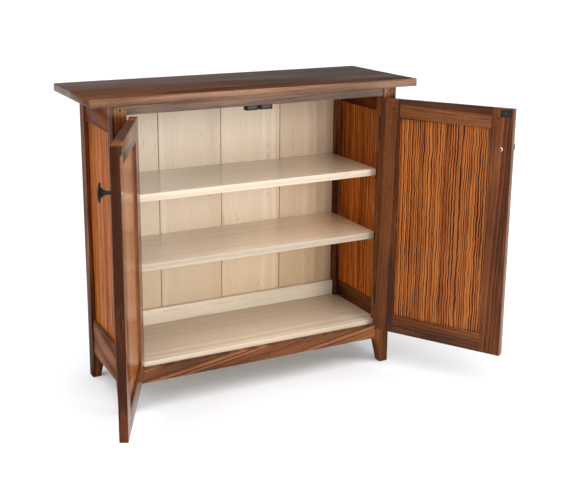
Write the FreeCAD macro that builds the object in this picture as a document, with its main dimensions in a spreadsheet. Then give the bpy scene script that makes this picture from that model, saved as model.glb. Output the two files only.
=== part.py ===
# A two-door side cabinet in walnut and maple, standing on four legs, with both doors open.
# Millimetres. X runs along the width, Y from the front to the back, Z up.
# The origin is on the floor, in the middle of the case's footprint.
import FreeCAD, Part
import os
import re
import Sketcher
from FreeCAD import Placement, Rotation, Vector

doc = FreeCAD.newDocument("side_cabinet")
sheet = doc.addObject("Spreadsheet::Sheet", "sizes")

# Driving dimensions
SIZES = {
    # case and legs
    "case_width": 792,
    "case_depth": 276,
    "leg_length": 788,
    "leg_section": 36,
    "foot_height": 74,
    "foot_taper": 12,
    "foot_chamfer": 2,
    # top
    "top_thickness": 20,
    "top_side_overhang": 56,
    "top_front_overhang": 16,
    "top_back_overhang": 38,
    "top_easing": 1.5,
    # side frames and their panels
    "side_rail_thickness": 20,
    "side_rail_setback": 3.5,
    "side_top_rail_height": 71,
    "side_bottom_rail_height": 98,
    "side_panel_thickness": 9,
    "side_panel_recess": 8,
    # joints of the case
    "groove_depth": 8,
    "panel_play": 0.3,
    "joint_play": 0.1,
    "side_tenon_length": 16,
    "front_tenon_length": 26,
    "front_tenon_inset": 9,
    "tenon_thickness": 8,
    "tenon_shoulder": 4,
    "rail_peg_diameter": 5,
    "rail_peg_length": 19,
    "rail_peg_drop": 11,
    "rail_peg_inset": 20,
    # front rails
    "front_rail_setback": 4,
    "front_top_rail_height": 24,
    "front_top_rail_depth": 52,
    "front_bottom_rail_height": 37,
    "front_bottom_rail_depth": 28,
    # back rails and boards
    "back_rail_thickness": 18,
    "back_top_rail_height": 50,
    "back_board_count": 4,
    "back_board_thickness": 10,
    "back_board_bottom": 82,
    "back_rabbet": 10,
    "board_lap": 8,
    "board_gap": 1.2,
    # bottom, shelves and the maple rail
    "panel_board_thickness": 19,
    "door_stop_height": 13,
    "seat_play": 0.3,
    "shelf_thickness": 19,
    "shelf_side_gap": 1.5,
    "shelf_back_gap": 2,
    "shelf_easing": 1,
    "shelf_step": 30,
    "lower_shelf_rows": 7,
    "upper_shelf_rows": 13,
    "first_pin_height": 149,
    "pin_rows": 16,
    "pin_diameter": 5,
    "pin_bore_depth": 10,
    "pin_reach": 9,
    "pin_inset": 31,
    "maple_rail_height": 44,
    "maple_rail_thickness": 14,
    # doors
    "door_thickness": 20,
    "door_setback": 1,
    "door_gap": 2,
    "door_meeting_gap": 3,
    "stop_gap": 0.5,
    "stile_width": 55,
    "door_rail_height": 50,
    "door_panel_thickness": 8,
    "door_mortise_stop": 25,
    "door_tenon_thickness": 7,
    "door_tenon_shoulder": 9,
    "door_peg_diameter": 6,
    "door_peg_shoulder": 17,
    "left_door_angle": 115,
    "right_door_angle": 122,
    # hinges
    "hinge_height": 64,
    "hinge_inset": 90,
    "hinge_leaf_thickness": 1.7,
    "hinge_leaf_reach": 20.5,
    "hinge_leaf_gap": 0.3,
    "knuckle_radius": 3.2,
    "knuckle_count": 3,
    "knuckle_gap": 0.3,
    "hinge_pin_radius": 1.5,
    "hinge_pin_play": 0.06,
    "hinge_pin_clear": 0.2,
    "hinge_screw_count": 3,
    "hinge_screw_pitch": 23,
    "hinge_screw_length": 14,
    "hinge_screw_diameter": 3,
    "hinge_screw_head": 6,
    # knobs
    "knob_drop": 102,
    "knob_head_radius": 21,
    "knob_rim": 2.5,
    "knob_dome": 1.5,
    "knob_flare": 15,
    "knob_neck_radius": 4.5,
    "knob_neck_length": 8,
    "knob_base_radius": 7,
    "knob_base_thickness": 3,
    "knob_screw_diameter": 4,
    "knob_screw_head": 11,
    "knob_screw_head_height": 2,
    "knob_screw_bite": 12,
    # catches and their plates
    "catch_width": 34,
    "catch_height": 15,
    "catch_depth": 16,
    "catch_centre": 20,
    "catch_gap": 0.4,
    "magnet_width": 24,
    "magnet_height": 8,
    "magnet_depth": 6,
    "magnet_drop": 3,
    "catch_screw_diameter": 3,
    "catch_screw_length": 24,
    "catch_screw_spread": 11,
    "plate_width": 30,
    "plate_height": 18,
    "plate_thickness": 1.2,
    "plate_drop": 3,
    "plate_screw_diameter": 3,
    "plate_screw_head": 6.5,
    "plate_screw_head_height": 1,
    "plate_screw_length": 12,
    # fastenings of the top and the back
    "button_width": 22,
    "button_length": 26,
    "button_height": 16,
    "button_tongue": 7,
    "button_tongue_height": 6,
    "button_rail_gap": 11,
    "button_back_place": 200,
    "button_screw_diameter": 4,
    "button_screw_length": 29,
    "back_screw_diameter": 4,
    "back_screw_length": 22,
}

# Places worked out from the driving dimensions
PLACES = {
    "half_case": "case_width / 2",
    "front_face": "0 - case_depth / 2",
    "back_face": "case_depth / 2",
    "leg_inside": "half_case - leg_section",
    "opening_width": "2 * leg_inside",
    "front_leg_back": "front_face + leg_section",
    "rear_leg_front": "back_face - leg_section",
    "side_rail_outside": "half_case - side_rail_setback",
    "side_rail_inside": "side_rail_outside - side_rail_thickness",
    "side_rail_length": "case_depth - 2 * leg_section",
    "side_panel_outside": "side_rail_outside - side_panel_recess",
    "side_panel_inside": "side_panel_outside - side_panel_thickness",
    "side_tenon_place": "side_rail_inside + side_rail_thickness / 2 - tenon_thickness / 2",
    "side_bottom_rail_top": "foot_height + side_bottom_rail_height",
    "side_top_rail_bottom": "leg_length - side_top_rail_height",
    "front_rail_face": "front_face + front_rail_setback",
    "front_tenon_face": "front_face + front_tenon_inset",
    "front_top_rail_bottom": "leg_length - front_top_rail_height",
    "front_rail_top": "foot_height + front_bottom_rail_height",
    "bottom_top": "front_rail_top + door_stop_height",
    "bottom_bottom": "bottom_top - panel_board_thickness",
    "door_face": "front_face + door_setback",
    "door_back": "door_face + door_thickness",
    "stop_face": "door_back + stop_gap",
    "back_board_face": "back_face - back_board_thickness",
    "back_rail_face": "back_board_face - back_rail_thickness",
    "back_board_width": "(opening_width + 2 * back_rabbet - 2 * panel_play) / back_board_count",
    "board_tongue": "back_board_thickness / 2",
    "pin_front": "front_face + pin_inset",
    "pin_back": "back_face - pin_inset",
    "lower_shelf_bottom": "first_pin_height + lower_shelf_rows * shelf_step + pin_diameter / 2",
    "upper_shelf_bottom": "first_pin_height + upper_shelf_rows * shelf_step + pin_diameter / 2",
    "shelf_front": "pin_front - pin_diameter / 2 - shelf_easing",
    "shelf_back": "back_board_face - shelf_back_gap",
    "door_bottom": "front_rail_top + door_gap",
    "door_top": "front_top_rail_bottom - door_gap",
    "door_height": "door_top - door_bottom",
    "door_hinge_edge": "leg_inside - door_gap",
    "door_free_edge": "door_meeting_gap / 2",
    "door_width": "door_hinge_edge - door_free_edge",
    "door_tenon_length": "stile_width - door_mortise_stop",
    "door_peg_inset": "stile_width - door_peg_shoulder",
    "door_panel_face": "door_face + (door_thickness - door_panel_thickness) / 2",
    "door_tenon_face": "door_face + (door_thickness - door_tenon_thickness) / 2",
    "pin_axis_x": "leg_inside - door_gap / 2",
    "pin_axis_y": "front_face - knuckle_radius - hinge_pin_clear",
    "hinge_low_bottom": "door_bottom + hinge_inset - hinge_height / 2",
    "hinge_high_bottom": "door_top - hinge_inset - hinge_height / 2",
    "knuckle_pitch": "hinge_height / knuckle_count",
    "knob_place": "door_free_edge + stile_width / 2",
    "knob_height": "door_top - knob_drop",
    "plate_top": "door_top - plate_drop",
    "catch_face": "door_back + plate_thickness + catch_gap",
    "catch_bottom": "front_top_rail_bottom - catch_height",
    "button_bottom": "leg_length - button_height",
    "button_side_place": "0 - front_rail_face - front_top_rail_depth - button_rail_gap - button_width / 2",
}

# How far out the knob's flare has grown at its middle, as a share of the flare
KNOB_BEND_SHARE = 0.3

# The case's outer faces and how close an edge lies to one that it belongs to
HALF_CASE = SIZES["case_width"] / 2
HALF_DEPTH = SIZES["case_depth"] / 2
TOUCH = SIZES["joint_play"]

for row, (alias, size) in enumerate(SIZES.items(), start=1):
    sheet.set("A%d" % row, alias)
    sheet.set("B%d" % row, str(size))
    sheet.setAlias("B%d" % row, alias)
doc.recompute()

NODES = {}
WORD = re.compile(r"[a-z][a-z_]{2,}")


def formula(text):
    """Spell a formula out in cells of the sheet."""

    def spell(match):
        word = match.group(0)
        if word in PLACES:
            return "(" + formula(PLACES[word]) + ")"
        if word in SIZES:
            return "sizes." + word
        return word

    return WORD.sub(spell, str(text))


def bind(piece, prop, text):
    """Tie one property of a piece to the sheet."""
    piece.setExpression(prop, formula(text))


def place(piece, x, y, z):
    """Tie the place of a piece to the sheet."""
    bind(piece, "Placement.Base.x", x)
    bind(piece, "Placement.Base.y", y)
    bind(piece, "Placement.Base.z", z)


def box(name, x, y, z, width, depth, height):
    """A block from its lowest corner and its three sizes."""
    piece = doc.addObject("Part::Box", name)
    bind(piece, "Length", width)
    bind(piece, "Width", depth)
    bind(piece, "Height", height)
    place(piece, x, y, z)
    return piece


AXES = {
    "up": Rotation(),
    "down": Rotation(Vector(1, 0, 0), 180),
    "right": Rotation(Vector(0, 1, 0), 90),
    "left": Rotation(Vector(0, 1, 0), -90),
    "back": Rotation(Vector(1, 0, 0), -90),
    "front": Rotation(Vector(1, 0, 0), 90),
}


def rod(name, towards, x, y, z, diameter, length):
    """A cylinder that starts at a point and runs towards one side."""
    piece = doc.addObject("Part::Cylinder", name)
    piece.Placement = Placement(Vector(), AXES[towards])
    bind(piece, "Radius", "(%s) / 2" % diameter)
    bind(piece, "Height", length)
    place(piece, x, y, z)
    return piece


def cone(name, towards, x, y, z, first, last, length):
    """A cone between two diameters that starts at a point and runs towards one side."""
    piece = doc.addObject("Part::Cone", name)
    piece.Placement = Placement(Vector(), AXES[towards])
    bind(piece, "Radius1", "(%s) / 2" % first)
    bind(piece, "Radius2", "(%s) / 2" % last)
    bind(piece, "Height", length)
    place(piece, x, y, z)
    return piece


def fuse(name, pieces):
    """Several shapes joined in one solid."""
    piece = doc.addObject("Part::MultiFuse", name)
    piece.Shapes = pieces
    piece.Refine = True
    return piece


def group(name, pieces):
    """Several separate solids kept together."""
    piece = doc.addObject("Part::Compound", name)
    piece.Links = pieces
    return piece


def cut(name, base, tools):
    """A shape with others taken away."""
    piece = doc.addObject("Part::Cut", name)
    piece.Base = base
    piece.Tool = tools[0] if len(tools) == 1 else group(name + "_tools", tools)
    piece.Refine = True
    return piece


def node(name, piece):
    """Give a finished piece its own name."""
    piece.Label = name
    NODES[name] = piece
    return piece


def mirror_x(side, text, size="0"):
    """The lower X of a piece on one side, from its lower X on the right side."""
    if side == "right":
        return text
    return "0 - (%s) - (%s)" % (text, size)


def side_x(side, text):
    """An X on one side, from the same X on the right side."""
    return text if side == "right" else "0 - (%s)" % text


def mirror_y(end, text, size="0"):
    """The lower Y of a piece at one end, from its lower Y at the rear."""
    if end == "rear":
        return text
    return "0 - (%s) - (%s)" % (text, size)


def plane_of(body, role):
    """One of a body's own origin planes."""
    return next(feature for feature in body.Origin.OriginFeatures if feature.Role == role)


def outline(body, name, role, points, offsets=()):
    """A closed sketch of straight lines through points given as formulas."""
    sketch = body.newObject("Sketcher::SketchObject", name)
    sketch.AttachmentSupport = [(plane_of(body, role), "")]
    sketch.MapMode = "FlatFace"
    for prop, text in offsets:
        bind(sketch, "AttachmentOffset.Base." + prop, text)
    start = [Vector(index, index * index, 0) for index in range(len(points))]
    for index in range(len(points)):
        sketch.addGeometry(Part.LineSegment(start[index], start[(index + 1) % len(points)]), False)
    for index in range(len(points)):
        following = (index + 1) % len(points)
        sketch.addConstraint(Sketcher.Constraint("Coincident", index, 2, following, 1))
    for index, (across, along) in enumerate(points):
        for kind, text in (("DistanceX", across), ("DistanceY", along)):
            datum = start[index].x if kind == "DistanceX" else start[index].y
            constraint = sketch.addConstraint(Sketcher.Constraint(kind, -1, 1, index, 1, datum))
            bind(sketch, "Constraints[%d]" % constraint, text)
    return sketch


def pad(body, name, sketch, length):
    """A sketch raised by a length."""
    feature = body.newObject("PartDesign::Pad", name)
    feature.Profile = sketch
    bind(feature, "Length", length)
    sketch.Visibility = False
    return feature


def slab(name, left, front, bottom, width, depth, height, easing):
    """A board as a body, with all its edges eased."""
    body = doc.addObject("PartDesign::Body", name)
    right = "(%s) + (%s)" % (left, width)
    back = "(%s) + (%s)" % (front, depth)
    corners = [(left, front), (right, front), (right, back), (left, back)]
    sketch = outline(body, name + "_plan", "XY_Plane", corners, [("z", bottom)])
    board = pad(body, name + "_board", sketch, height)
    doc.recompute()
    eased = body.newObject("PartDesign::Chamfer", name + "_easing")
    eased.Base = (board, ["Edge%d" % (index + 1) for index in range(len(board.Shape.Edges))])
    bind(eased, "Size", easing)
    body.Tip = eased
    return body


def swing(piece, side):
    """Turn a piece of a door, drawn shut, to the angle at which the door stands open."""
    angle = "right_door_angle" if side == "right" else "0 - left_door_angle"
    x = side_x(side, "pin_axis_x")
    y = "pin_axis_y"
    piece.Placement = Placement(Vector(), Rotation(Vector(0, 0, 1), 1))
    bind(piece, "Placement.Rotation.Angle", angle)
    bind(piece, "Placement.Base.x", "(%s) - ((%s) * cos(%s) - (%s) * sin(%s))" % (x, x, angle, y, angle))
    bind(piece, "Placement.Base.y", "(%s) - ((%s) * sin(%s) + (%s) * cos(%s))" % (y, x, angle, y, angle))


# Top
node(
    "top",
    slab(
        "top_slab",
        "0 - half_case - top_side_overhang",
        "front_face - top_front_overhang",
        "leg_length",
        "case_width + 2 * top_side_overhang",
        "case_depth + top_front_overhang + top_back_overhang",
        "top_thickness",
        "top_easing",
    ),
)


# Hinge parts, drawn with the doors shut: each leaf's screws are its fasteners
def hinge_bottom(level):
    return "hinge_low_bottom" if level == "low" else "hinge_high_bottom"


def hinge_screws(name, side, level, part):
    """The countersunk screws of one leaf, their heads flush with the leaf."""
    screws = []
    outward = "right" if (side == "right") == (part == "case") else "left"
    step = "hinge_leaf_gap / 2" if part == "case" else "0 - hinge_leaf_gap / 2"
    x = side_x(side, "pin_axis_x + " + step)
    y = "pin_axis_y + knuckle_radius + hinge_leaf_reach / 2"
    taper = "(hinge_screw_head - hinge_screw_diameter) / 2"
    for index in range(SIZES["hinge_screw_count"]):
        z = "%s + hinge_height / 2 + (%d - (hinge_screw_count - 1) / 2) * hinge_screw_pitch"
        z = z % (hinge_bottom(level), index)
        label = "%s_%d" % (name, index)
        head = cone(label + "_head", outward, x, y, z, "hinge_screw_head", "hinge_screw_diameter", taper)
        shank = rod(label + "_shank", outward, x, y, z, "hinge_screw_diameter", "hinge_screw_length")
        screws.append(fuse(label, [head, shank]))
    return screws


def hinge_leaf(name, side, level, part, screws):
    """One leaf of a butt hinge with its knuckles, bored for the pin."""
    bottom = hinge_bottom(level)
    if part == "case":
        near = "pin_axis_x + hinge_leaf_gap / 2"
    else:
        near = "pin_axis_x - hinge_leaf_gap / 2 - hinge_leaf_thickness"
    reach = "knuckle_radius + hinge_leaf_reach"
    low = mirror_x(side, near, "hinge_leaf_thickness")
    plate = box(name + "_plate", low, "pin_axis_y", bottom, "hinge_leaf_thickness", reach, "hinge_height")
    x = side_x(side, "pin_axis_x")
    knuckles = []
    clearings = []
    for index in range(SIZES["knuckle_count"]):
        start = "%s + %d * knuckle_pitch" % (bottom, index)
        label = "%s_knuckle_%d" % (name, index)
        own = (index % 2 == 0) == (part == "case")
        if own:
            z = "(%s) + knuckle_gap / 2" % start
            height = "knuckle_pitch - knuckle_gap"
            knuckles.append(rod(label, "up", x, "pin_axis_y", z, "2 * knuckle_radius", height))
        else:
            z = "(%s) - knuckle_gap / 2" % start
            height = "knuckle_pitch + knuckle_gap"
            wide = "2 * (knuckle_radius + knuckle_gap)"
            clearings.append(rod(label, "up", x, "pin_axis_y", z, wide, height))
    bore = "2 * (hinge_pin_radius + hinge_pin_play)"
    bore = rod(name + "_bore", "up", x, "pin_axis_y", bottom, bore, "hinge_height")
    bare = cut(name + "_bare", plate, clearings)
    solid = fuse(name + "_solid", [bare] + knuckles)
    return cut(name, solid, [bore] + screws)


HINGE_SCREWS = {}
HINGE_LEAVES = {}
for side in ("left", "right"):
    for part in ("case", "door"):
        screws = []
        leaves = []
        for level in ("low", "high"):
            name = "hinge_%s_%s_%s" % (side, level, part)
            own = hinge_screws(name + "_screw", side, level, part)
            leaves.append(hinge_leaf(name, side, level, part, own))
            screws += own
        HINGE_SCREWS[side, part] = screws
        HINGE_LEAVES[side, part] = leaves

hinge_pins = []
for side in ("left", "right"):
    for level in ("low", "high"):
        name = "hinge_pin_%s_%s" % (side, level)
        x = side_x(side, "pin_axis_x")
        pin = "2 * hinge_pin_radius"
        hinge_pins.append(rod(name, "up", x, "pin_axis_y", hinge_bottom(level), pin, "hinge_height"))
node("hinge_pins", group("hinge_pin_set", hinge_pins))


def hinge_mortises(name, side, part):
    """The shallow beds of both leaves in a leg or a hinge stile."""
    width = "hinge_leaf_gap / 2 + hinge_leaf_thickness"
    depth = "knuckle_radius + hinge_leaf_reach + joint_play"
    height = "hinge_height + 2 * joint_play"
    start = "pin_axis_x" if part == "case" else "pin_axis_x - %s" % width.replace("+", "-")
    x = mirror_x(side, start, width)
    beds = []
    for level in ("low", "high"):
        z = hinge_bottom(level) + " - joint_play"
        beds.append(box("%s_%s" % (name, level), x, "pin_axis_y", z, width, depth, height))
    return beds


# Front top rail: a flat rail behind whose lip the catches hang
def front_rail_tenons(name, bottom, height, grow):
    """The rail's tenons at both ends, or their mortises when grown by the joint's play."""
    tenons = []
    for side in ("left", "right"):
        length = "front_tenon_length + %s" % grow
        x = mirror_x(side, "leg_inside", length)
        y = "front_tenon_face - %s" % grow
        z = "(%s) + tenon_shoulder - %s" % (bottom, grow)
        depth = "tenon_thickness + 2 * %s" % grow
        tall = "(%s) - 2 * tenon_shoulder + 2 * %s" % (height, grow)
        tenons.append(box("%s_%s" % (name, side), x, y, z, length, depth, tall))
    return tenons


rail_pegs = []
for side in ("left", "right"):
    x = side_x(side, "leg_inside + leg_section - rail_peg_inset")
    z = "leg_length - rail_peg_drop"
    name = "rail_peg_" + side
    rail_pegs.append(rod(name, "back", x, "front_face", z, "rail_peg_diameter", "rail_peg_length"))
node("rail_pegs", group("rail_peg_set", rail_pegs))

catch_screws = []
for side in ("left", "right"):
    for index, shift in enumerate(("- catch_screw_spread", "+ catch_screw_spread")):
        x = side_x(side, "catch_centre") + " " + shift
        y = "catch_face + magnet_depth + (catch_depth - magnet_depth) / 2"
        name = "catch_screw_%s_%d" % (side, index)
        screw = rod(name, "up", x, y, "catch_bottom", "catch_screw_diameter", "catch_screw_length")
        catch_screws.append(screw)
node("catch_screws", group("catch_screw_set", catch_screws))

bar = box(
    "front_top_rail_bar",
    "0 - leg_inside",
    "front_rail_face",
    "front_top_rail_bottom",
    "opening_width",
    "front_top_rail_depth",
    "front_top_rail_height",
)
tenons = front_rail_tenons("front_top_tenon", "front_top_rail_bottom", "front_top_rail_height", "0")
solid = fuse("front_top_rail_solid", [bar] + tenons)
node("front_top_rail", cut("front_top_rail_bored", solid, rail_pegs + catch_screws))

# Front bottom rail: rabbeted behind for the bottom panel
bar = box(
    "front_bottom_rail_bar",
    "0 - leg_inside",
    "front_rail_face",
    "foot_height",
    "opening_width",
    "front_bottom_rail_depth",
    "front_bottom_rail_height",
)
rabbet = box(
    "front_bottom_rabbet",
    "0 - leg_inside",
    "stop_face",
    "bottom_bottom",
    "opening_width",
    "front_bottom_rail_depth",
    "front_bottom_rail_height",
)
rabbeted = cut("front_bottom_rail_rabbeted", bar, [rabbet])
tenons = front_rail_tenons(
    "front_bottom_tenon", "foot_height", "front_bottom_rail_height - tenon_shoulder", "0"
)
node("front_bottom_rail", fuse("front_bottom_rail_solid", [rabbeted] + tenons))

# Back rails: the upper holds the boards, the lower also carries the bottom panel
back_rails = {
    "back_top_rail": ("leg_length - back_top_rail_height", "back_top_rail_height"),
    "back_bottom_rail": ("foot_height", "bottom_bottom - foot_height"),
}


def back_rail_tenons(name, bottom, height, grow):
    """A back rail's tenons, or their mortises when grown by the joint's play."""
    tenons = []
    for side in ("left", "right"):
        length = "side_tenon_length - tenon_shoulder + %s" % grow
        x = mirror_x(side, "leg_inside", length)
        y = "back_rail_face + (back_rail_thickness - tenon_thickness) / 2 - %s" % grow
        z = "(%s) + tenon_shoulder - %s" % (bottom, grow)
        depth = "tenon_thickness + 2 * %s" % grow
        tall = "(%s) - 2 * tenon_shoulder + 2 * %s" % (height, grow)
        tenons.append(box("%s_%s" % (name, side), x, y, z, length, depth, tall))
    return tenons


back_screws = []
for index in range(SIZES["back_board_count"]):
    for level, (bottom, height) in back_rails.items():
        x = "(%d - (back_board_count - 1) / 2) * back_board_width" % index
        z = "(%s) + (%s) / 2 + back_screw_diameter / 2" % (bottom, height)
        name = "back_screw_%s_%d" % (level, index)
        screw = rod(name, "front", x, "back_face", z, "back_screw_diameter", "back_screw_length")
        back_screws.append(screw)
node("back_screws", group("back_screw_set", back_screws))

for name, (bottom, height) in back_rails.items():
    wide = "opening_width"
    bar = box(name + "_bar", "0 - leg_inside", "back_rail_face", bottom, wide, "back_rail_thickness", height)
    solid = fuse(name + "_solid", [bar] + back_rail_tenons(name + "_tenon", bottom, height, "0"))
    tools = [screw for screw in back_screws if name in screw.Name]
    if name == "back_top_rail":
        for side in ("left", "right"):
            x = side_x(side, "button_back_place") + " - button_width / 2 - joint_play"
            z = "button_bottom - joint_play"
            slot = "button_back_slot_" + side
            wide = "button_width + 2 * joint_play"
            deep = "button_tongue + joint_play"
            tall = "button_tongue_height + 2 * joint_play"
            tools.append(box(slot, x, "back_rail_face", z, wide, deep, tall))
    node(name, cut(name + "_bored", solid, tools))

# Side frames: two rails and a floating panel on each side
side_rails = {
    "bottom": ("foot_height", "side_bottom_rail_height"),
    "top": ("side_top_rail_bottom", "side_top_rail_height"),
}


def side_rail_tenons(name, side, bottom, height, grow):
    """A side rail's tenons into both legs, or their mortises when grown by the play."""
    tenons = []
    for end in ("front", "rear"):
        length = "side_tenon_length + %s" % grow
        wide = "tenon_thickness + 2 * %s" % grow
        x = mirror_x(side, "side_tenon_place - %s" % grow, wide)
        y = mirror_y(end, "rear_leg_front", length)
        z = "(%s) + 2 * tenon_shoulder - %s" % (bottom, grow)
        tall = "(%s) - 4 * tenon_shoulder + 2 * %s" % (height, grow)
        tenons.append(box("%s_%s_%s" % (name, side, end), x, y, z, wide, length, tall))
    return tenons


def side_groove(name, side, grow):
    """The space of a side panel, or its groove when grown by the panel's play."""
    wide = "side_panel_thickness + 2 * %s" % grow
    x = mirror_x(side, "side_panel_inside - %s" % grow, wide)
    y = "front_leg_back - groove_depth"
    z = "side_bottom_rail_top - groove_depth"
    depth = "side_rail_length + 2 * groove_depth"
    tall = "side_top_rail_bottom - side_bottom_rail_top + 2 * groove_depth"
    return box(name, x, y, z, wide, depth, tall)


for side in ("left", "right"):
    for level, (bottom, height) in side_rails.items():
        name = "side_%s_rail_%s" % (level, side)
        x = mirror_x(side, "side_rail_inside", "side_rail_thickness")
        wide = "side_rail_thickness"
        bar = box(name + "_bar", x, "front_leg_back", bottom, wide, "side_rail_length", height)
        tenons = side_rail_tenons(name + "_tenon", side, bottom, height, "0")
        solid = fuse(name + "_solid", [bar] + tenons)
        tools = [side_groove(name + "_groove", side, "joint_play")]
        if level == "top":
            for end in ("front", "rear"):
                width = "button_tongue + joint_play"
                x = mirror_x(side, "side_rail_inside", width)
                y = mirror_y(end, "button_side_place - button_width / 2", "button_width") + " - joint_play"
                z = "button_bottom - joint_play"
                deep = "button_width + 2 * joint_play"
                tall = "button_tongue_height + 2 * joint_play"
                tools.append(box("%s_slot_%s" % (name, end), x, y, z, width, deep, tall))
        node(name, cut(name + "_grooved", solid, tools))
    wide = "side_panel_thickness"
    x = mirror_x(side, "side_panel_inside", wide)
    y = "front_leg_back - groove_depth + panel_play"
    z = "side_bottom_rail_top - groove_depth"
    depth = "side_rail_length + 2 * groove_depth - 2 * panel_play"
    tall = "side_top_rail_bottom - side_bottom_rail_top + 2 * groove_depth - panel_play"
    node("side_panel_" + side, box("side_panel_%s_board" % side, x, y, z, wide, depth, tall))


# Legs: square, with a taper on the two inner faces of each foot
def taper_wedge(name, side, end, face):
    """The wedge that tapers one inner face of a foot."""
    body = doc.addObject("PartDesign::Body", name)
    if face == "x":
        inner = side_x(side, "leg_inside")
        narrow = side_x(side, "leg_inside + foot_taper")
        points = [(inner, "foot_height"), (narrow, "0"), (inner, "0")]
        sketch = outline(body, name + "_side", "XZ_Plane", points, [("z", "0 - back_face - leg_section")])
        pad(body, name + "_wedge", sketch, "case_depth + 2 * leg_section")
    else:
        inner = "rear_leg_front" if end == "rear" else "0 - rear_leg_front"
        narrow = "rear_leg_front + foot_taper" if end == "rear" else "0 - rear_leg_front - foot_taper"
        points = [(inner, "foot_height"), (narrow, "0"), (inner, "0")]
        sketch = outline(body, name + "_side", "YZ_Plane", points, [("z", "0 - half_case - leg_section")])
        pad(body, name + "_wedge", sketch, "case_width + 2 * leg_section")
    return body


def leg_blank(name, side, end):
    """One leg with its foot tapered and the foot's outer bottom edges chamfered."""
    body = doc.addObject("PartDesign::Body", name)
    x = mirror_x(side, "leg_inside", "leg_section")
    y = mirror_y(end, "rear_leg_front", "leg_section")
    right = "(%s) + leg_section" % x
    back = "(%s) + leg_section" % y
    sketch = outline(body, name + "_plan", "XY_Plane", [(x, y), (right, y), (right, back), (x, back)])
    post = pad(body, name + "_post", sketch, "leg_length")
    doc.recompute()
    wanted = []
    for index, edge in enumerate(post.Shape.Edges):
        centre = edge.CenterOfMass
        outer = abs(centre.x) > HALF_CASE - TOUCH or abs(centre.y) > HALF_DEPTH - TOUCH
        if centre.z < TOUCH and outer:
            wanted.append("Edge%d" % (index + 1))
    chamfer = body.newObject("PartDesign::Chamfer", name + "_chamfer")
    chamfer.Base = (post, wanted)
    bind(chamfer, "Size", "foot_chamfer")
    body.Tip = chamfer
    return body


shelf_pins = []
for end in ("front", "rear"):
    for side in ("left", "right"):
        for level in ("lower", "upper"):
            name = "shelf_pin_%s_%s_%s" % (level, end, side)
            x = side_x(side, "leg_inside - pin_reach")
            y = "pin_front" if end == "front" else "pin_back"
            z = "%s_shelf_bottom - pin_diameter / 2" % level
            length = "pin_reach + pin_bore_depth"
            shelf_pins.append(rod(name, side, x, y, z, "pin_diameter", length))
node("shelf_pins", group("shelf_pin_set", shelf_pins))

for end in ("front", "rear"):
    for side in ("left", "right"):
        name = "leg_%s_%s" % (end, side)
        tools = [taper_wedge("%s_taper_%s" % (name, face), side, end, face) for face in ("x", "y")]
        tools.append(side_groove(name + "_groove", side, "joint_play"))
        for level, (bottom, height) in side_rails.items():
            tools += side_rail_tenons("%s_mortise_%s" % (name, level), side, bottom, height, "joint_play")
        y = "pin_front" if end == "front" else "pin_back"
        for index in range(SIZES["pin_rows"]):
            z = "first_pin_height + %d * shelf_step" % index
            bore = "%s_bore_%d" % (name, index)
            x = side_x(side, "leg_inside")
            tools.append(rod(bore, side, x, y, z, "pin_diameter", "pin_bore_depth"))
        if end == "front":
            tools += front_rail_tenons(
                name + "_mortise_front_top", "front_top_rail_bottom", "front_top_rail_height", "joint_play"
            )
            low = "front_bottom_rail_height - tenon_shoulder"
            tools += front_rail_tenons(name + "_mortise_front_bottom", "foot_height", low, "joint_play")
            tools += hinge_mortises(name + "_bed", side, "case")
            tools += rail_pegs + HINGE_SCREWS[side, "case"]
        else:
            for rail, (bottom, height) in back_rails.items():
                tools += back_rail_tenons("%s_mortise_%s" % (name, rail), bottom, height, "joint_play")
            rabbet = "%s_rabbet" % name
            x = mirror_x(side, "leg_inside", "back_rabbet")
            tall = "leg_length - back_board_bottom"
            deep = "back_board_thickness"
            tools.append(box(rabbet, x, "back_board_face", "back_board_bottom", "back_rabbet", deep, tall))
        node(name, cut(name + "_worked", leg_blank(name + "_blank", side, end), tools))

# Bottom panel: notched round the legs, its front edge stopping the doors
inside = "leg_inside - seat_play"
wide = "side_rail_inside - seat_play"
long_board = box(
    "bottom_long_board",
    "0 - (%s)" % inside,
    "stop_face",
    "bottom_bottom",
    "2 * (%s)" % inside,
    "back_board_face - stop_face",
    "panel_board_thickness",
)
wide_board = box(
    "bottom_wide_board",
    "0 - (%s)" % wide,
    "front_leg_back + seat_play",
    "bottom_bottom",
    "2 * (%s)" % wide,
    "side_rail_length - 2 * seat_play",
    "panel_board_thickness",
)
node("bottom_panel", fuse("bottom_board", [long_board, wide_board]))

# Maple rail along the back, standing on the bottom panel
node(
    "back_maple_rail",
    box(
        "maple_rail_bar",
        "0 - leg_inside + seat_play",
        "back_board_face - maple_rail_thickness",
        "bottom_top",
        "opening_width - 2 * seat_play",
        "maple_rail_thickness",
        "maple_rail_height",
    ),
)

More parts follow.
